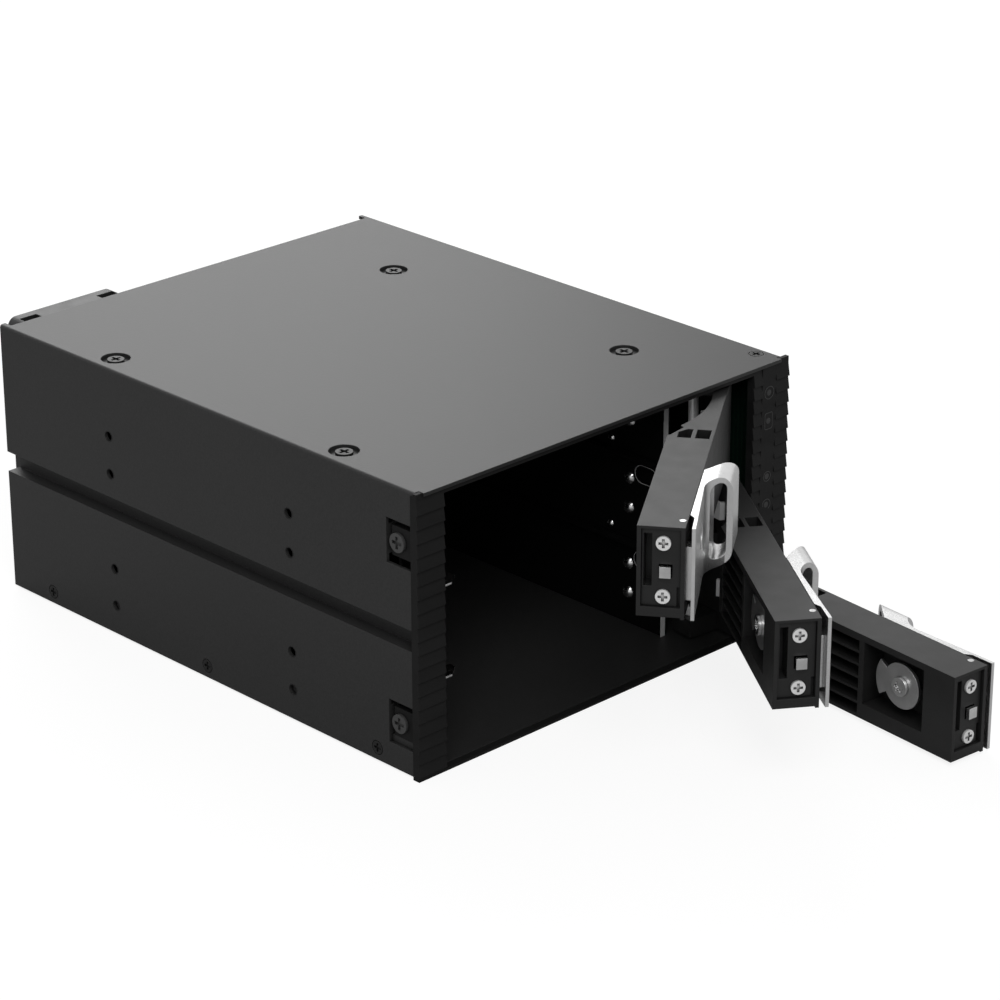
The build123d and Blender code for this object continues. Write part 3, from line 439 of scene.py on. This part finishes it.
def make_guide_edge_highlight(material):
    """The sheared front edge of the right drive guide, a narrow bright lip: partly the bare cut
    edge, partly a painted highlight of its rounded corner.
    """
    near_y, far_y = GUIDE_FRONT_Y - EDGE_THICK, GUIDE_FRONT_Y
    lip_x = GUIDE_INNER_X - EDGE_LIP
    outline = [(GUIDE_OUTER_X, near_y), (lip_x, near_y), (lip_x, far_y), (GUIDE_OUTER_X, far_y)]
    verts = [(x, y, z) for z in (EDGE_LOW_Z, EDGE_HIGH_Z) for x, y in outline]
    faces = [(k, (k + 1) % 4, 4 + (k + 1) % 4, 4 + k) for k in range(4)]
    add_piece("guide_edge", verts, faces + [(0, 1, 2, 3), (4, 5, 6, 7)], material, "bright_steel")


def make_window_rims(material):
    """The burred rims of the windows near the front of the right guide, one for each bay."""

    def lift(point, level):
        return (GUIDE_INNER_X - RIM_RISE * level, point[0], point[1])

    solids = []
    for bay in range(3):
        middle = (WINDOW_MIDDLE_Y, WINDOW_LOWEST_Z + bay * BAY_PITCH)
        path = rounded_frame(middle, WINDOW_HALF_LONG, WINDOW_HALF_TALL, WINDOW_HALF_TALL)
        solids.append(raised_line(path, RIM_WIDE, lift))
    add_piece("window_rims", *merged(solids), material, "bright_steel")


def pattern_rims(mount):
    """The rims of one pattern of side holes, which the record gives as a mount."""
    side_x, middle_y, middle_z = (c / MM for c in mount["pos_m"])
    outward = mount["axis"][0]
    dims = mount["dims"]
    half_long, half_tall = dims["spacing_x_mm"] / 2, dims["spacing_y_mm"] / 2
    radius = dims["hole_r_mm"] + RIM_WIDE / 2

    def lift(point, level):
        return (side_x + outward * RIM_RISE * level, point[0], point[1])

    solids = []
    for y in (middle_y - half_long, middle_y + half_long):
        for z in (middle_z - half_tall, middle_z + half_tall):
            path = ring((y, z), radius, HOLE_RIM_STEPS)
            solids.append(raised_line(path, RIM_WIDE, lift))
    return solids


def make_hole_rims(material):
    """Thin dark rims where the coating gathers round the side holes."""
    patterns = [m for m in frame["record"]["mounts"] if m["kind"] == "bolt_pattern"]
    solids = [rim for mount in patterns for rim in pattern_rims(mount)]
    add_piece("hole_rims", *merged(solids), material, "bright_steel")


# Floor, backdrop and lights, in metres. The camera sees the floor nearly white, with soft
# shadows, and the cage is lit by a greyer one
FLOOR_HALF_SIZE = 6.0
FLOOR_BOUNCE = 0.60
FLOOR_SEEN = 0.25
FLOOR_GLOW = 0.86
SKY_SEEN = 1.0
SKY_LIGHT = 0.36


def make_floor():
    far = FLOOR_HALF_SIZE
    data = bpy.data.meshes.new("floor")
    corners = [(-far, -far, 0), (far, -far, 0), (far, far, 0), (-far, far, 0)]
    data.from_pydata(corners, [], [(0, 1, 2, 3)])
    floor = bpy.data.objects.new("floor", data)
    bpy.context.scene.collection.objects.link(floor)
    s = Shader("floor")
    bounce = s.node("ShaderNodeBsdfDiffuse", Color=(*grey(FLOOR_BOUNCE), 1))
    seen = s.node("ShaderNodeBsdfDiffuse", Color=(*grey(FLOOR_SEEN), 1))
    glow = s.node("ShaderNodeEmission", Strength=FLOOR_GLOW)
    both = s.nodes.new("ShaderNodeAddShader")
    s.links.new(seen.outputs["BSDF"], both.inputs[0])
    s.links.new(glow.outputs["Emission"], both.inputs[1])
    path = s.nodes.new("ShaderNodeLightPath")
    mix = s.node("ShaderNodeMixShader", Fac=path.outputs["Is Camera Ray"])
    s.links.new(bounce.outputs["BSDF"], mix.inputs[1])
    s.links.new(both.outputs["Shader"], mix.inputs[2])
    s.links.new(mix.outputs["Shader"], s.output.inputs["Surface"])
    data.materials.append(s.material)


def make_world():
    """White where it is seen, directly, mirrored or through, and dimmer as a light."""
    world = bpy.data.worlds.new("world")
    world.use_nodes = True
    bpy.context.scene.world = world
    nodes, links = world.node_tree.nodes, world.node_tree.links
    nodes.clear()
    output = nodes.new("ShaderNodeOutputWorld")
    path = nodes.new("ShaderNodeLightPath")
    lit = nodes.new("ShaderNodeBackground")
    lit.inputs["Strength"].default_value = SKY_LIGHT
    seen = nodes.new("ShaderNodeBackground")
    seen.inputs["Strength"].default_value = SKY_SEEN
    shown = path.outputs["Is Camera Ray"]
    for kind in ("Is Glossy Ray", "Is Transmission Ray"):
        either = nodes.new("ShaderNodeMath")
        either.operation = "MAXIMUM"
        links.new(shown, either.inputs[0])
        links.new(path.outputs[kind], either.inputs[1])
        shown = either.outputs[0]
    mix = nodes.new("ShaderNodeMixShader")
    links.new(shown, mix.inputs["Fac"])
    links.new(lit.outputs["Background"], mix.inputs[1])
    links.new(seen.outputs["Background"], mix.inputs[2])
    links.new(mix.outputs["Shader"], output.inputs["Surface"])


def area_light(name, place, target, size, power):
    data = bpy.data.lights.new(name, "AREA")
    data.shape = "SQUARE"
    data.size = size
    data.energy = power
    lamp = bpy.data.objects.new(name, data)
    aim = Vector(target) - Vector(place)
    lamp.rotation_euler = aim.to_track_quat("-Z", "Y").to_euler()
    lamp.location = place
    bpy.context.scene.collection.objects.link(lamp)


make_camera()
make_floor()
make_world()
area_light("key", place=(-0.9, -1.2, 1.5), target=(0, 0, 0.05), size=1.0, power=15)
area_light("rear", place=(0.7, 1.3, 0.9), target=(0, 0, 0.08), size=1.2, power=11)
materials = make_materials()
dress_nodes(materials)
make_icons(materials["icon_print"])
make_guide_edge_highlight(materials["plated"])
make_window_rims(materials["plated"])
make_hole_rims(materials["black_screw"])

bpy.context.scene.view_settings.view_transform = "Standard"
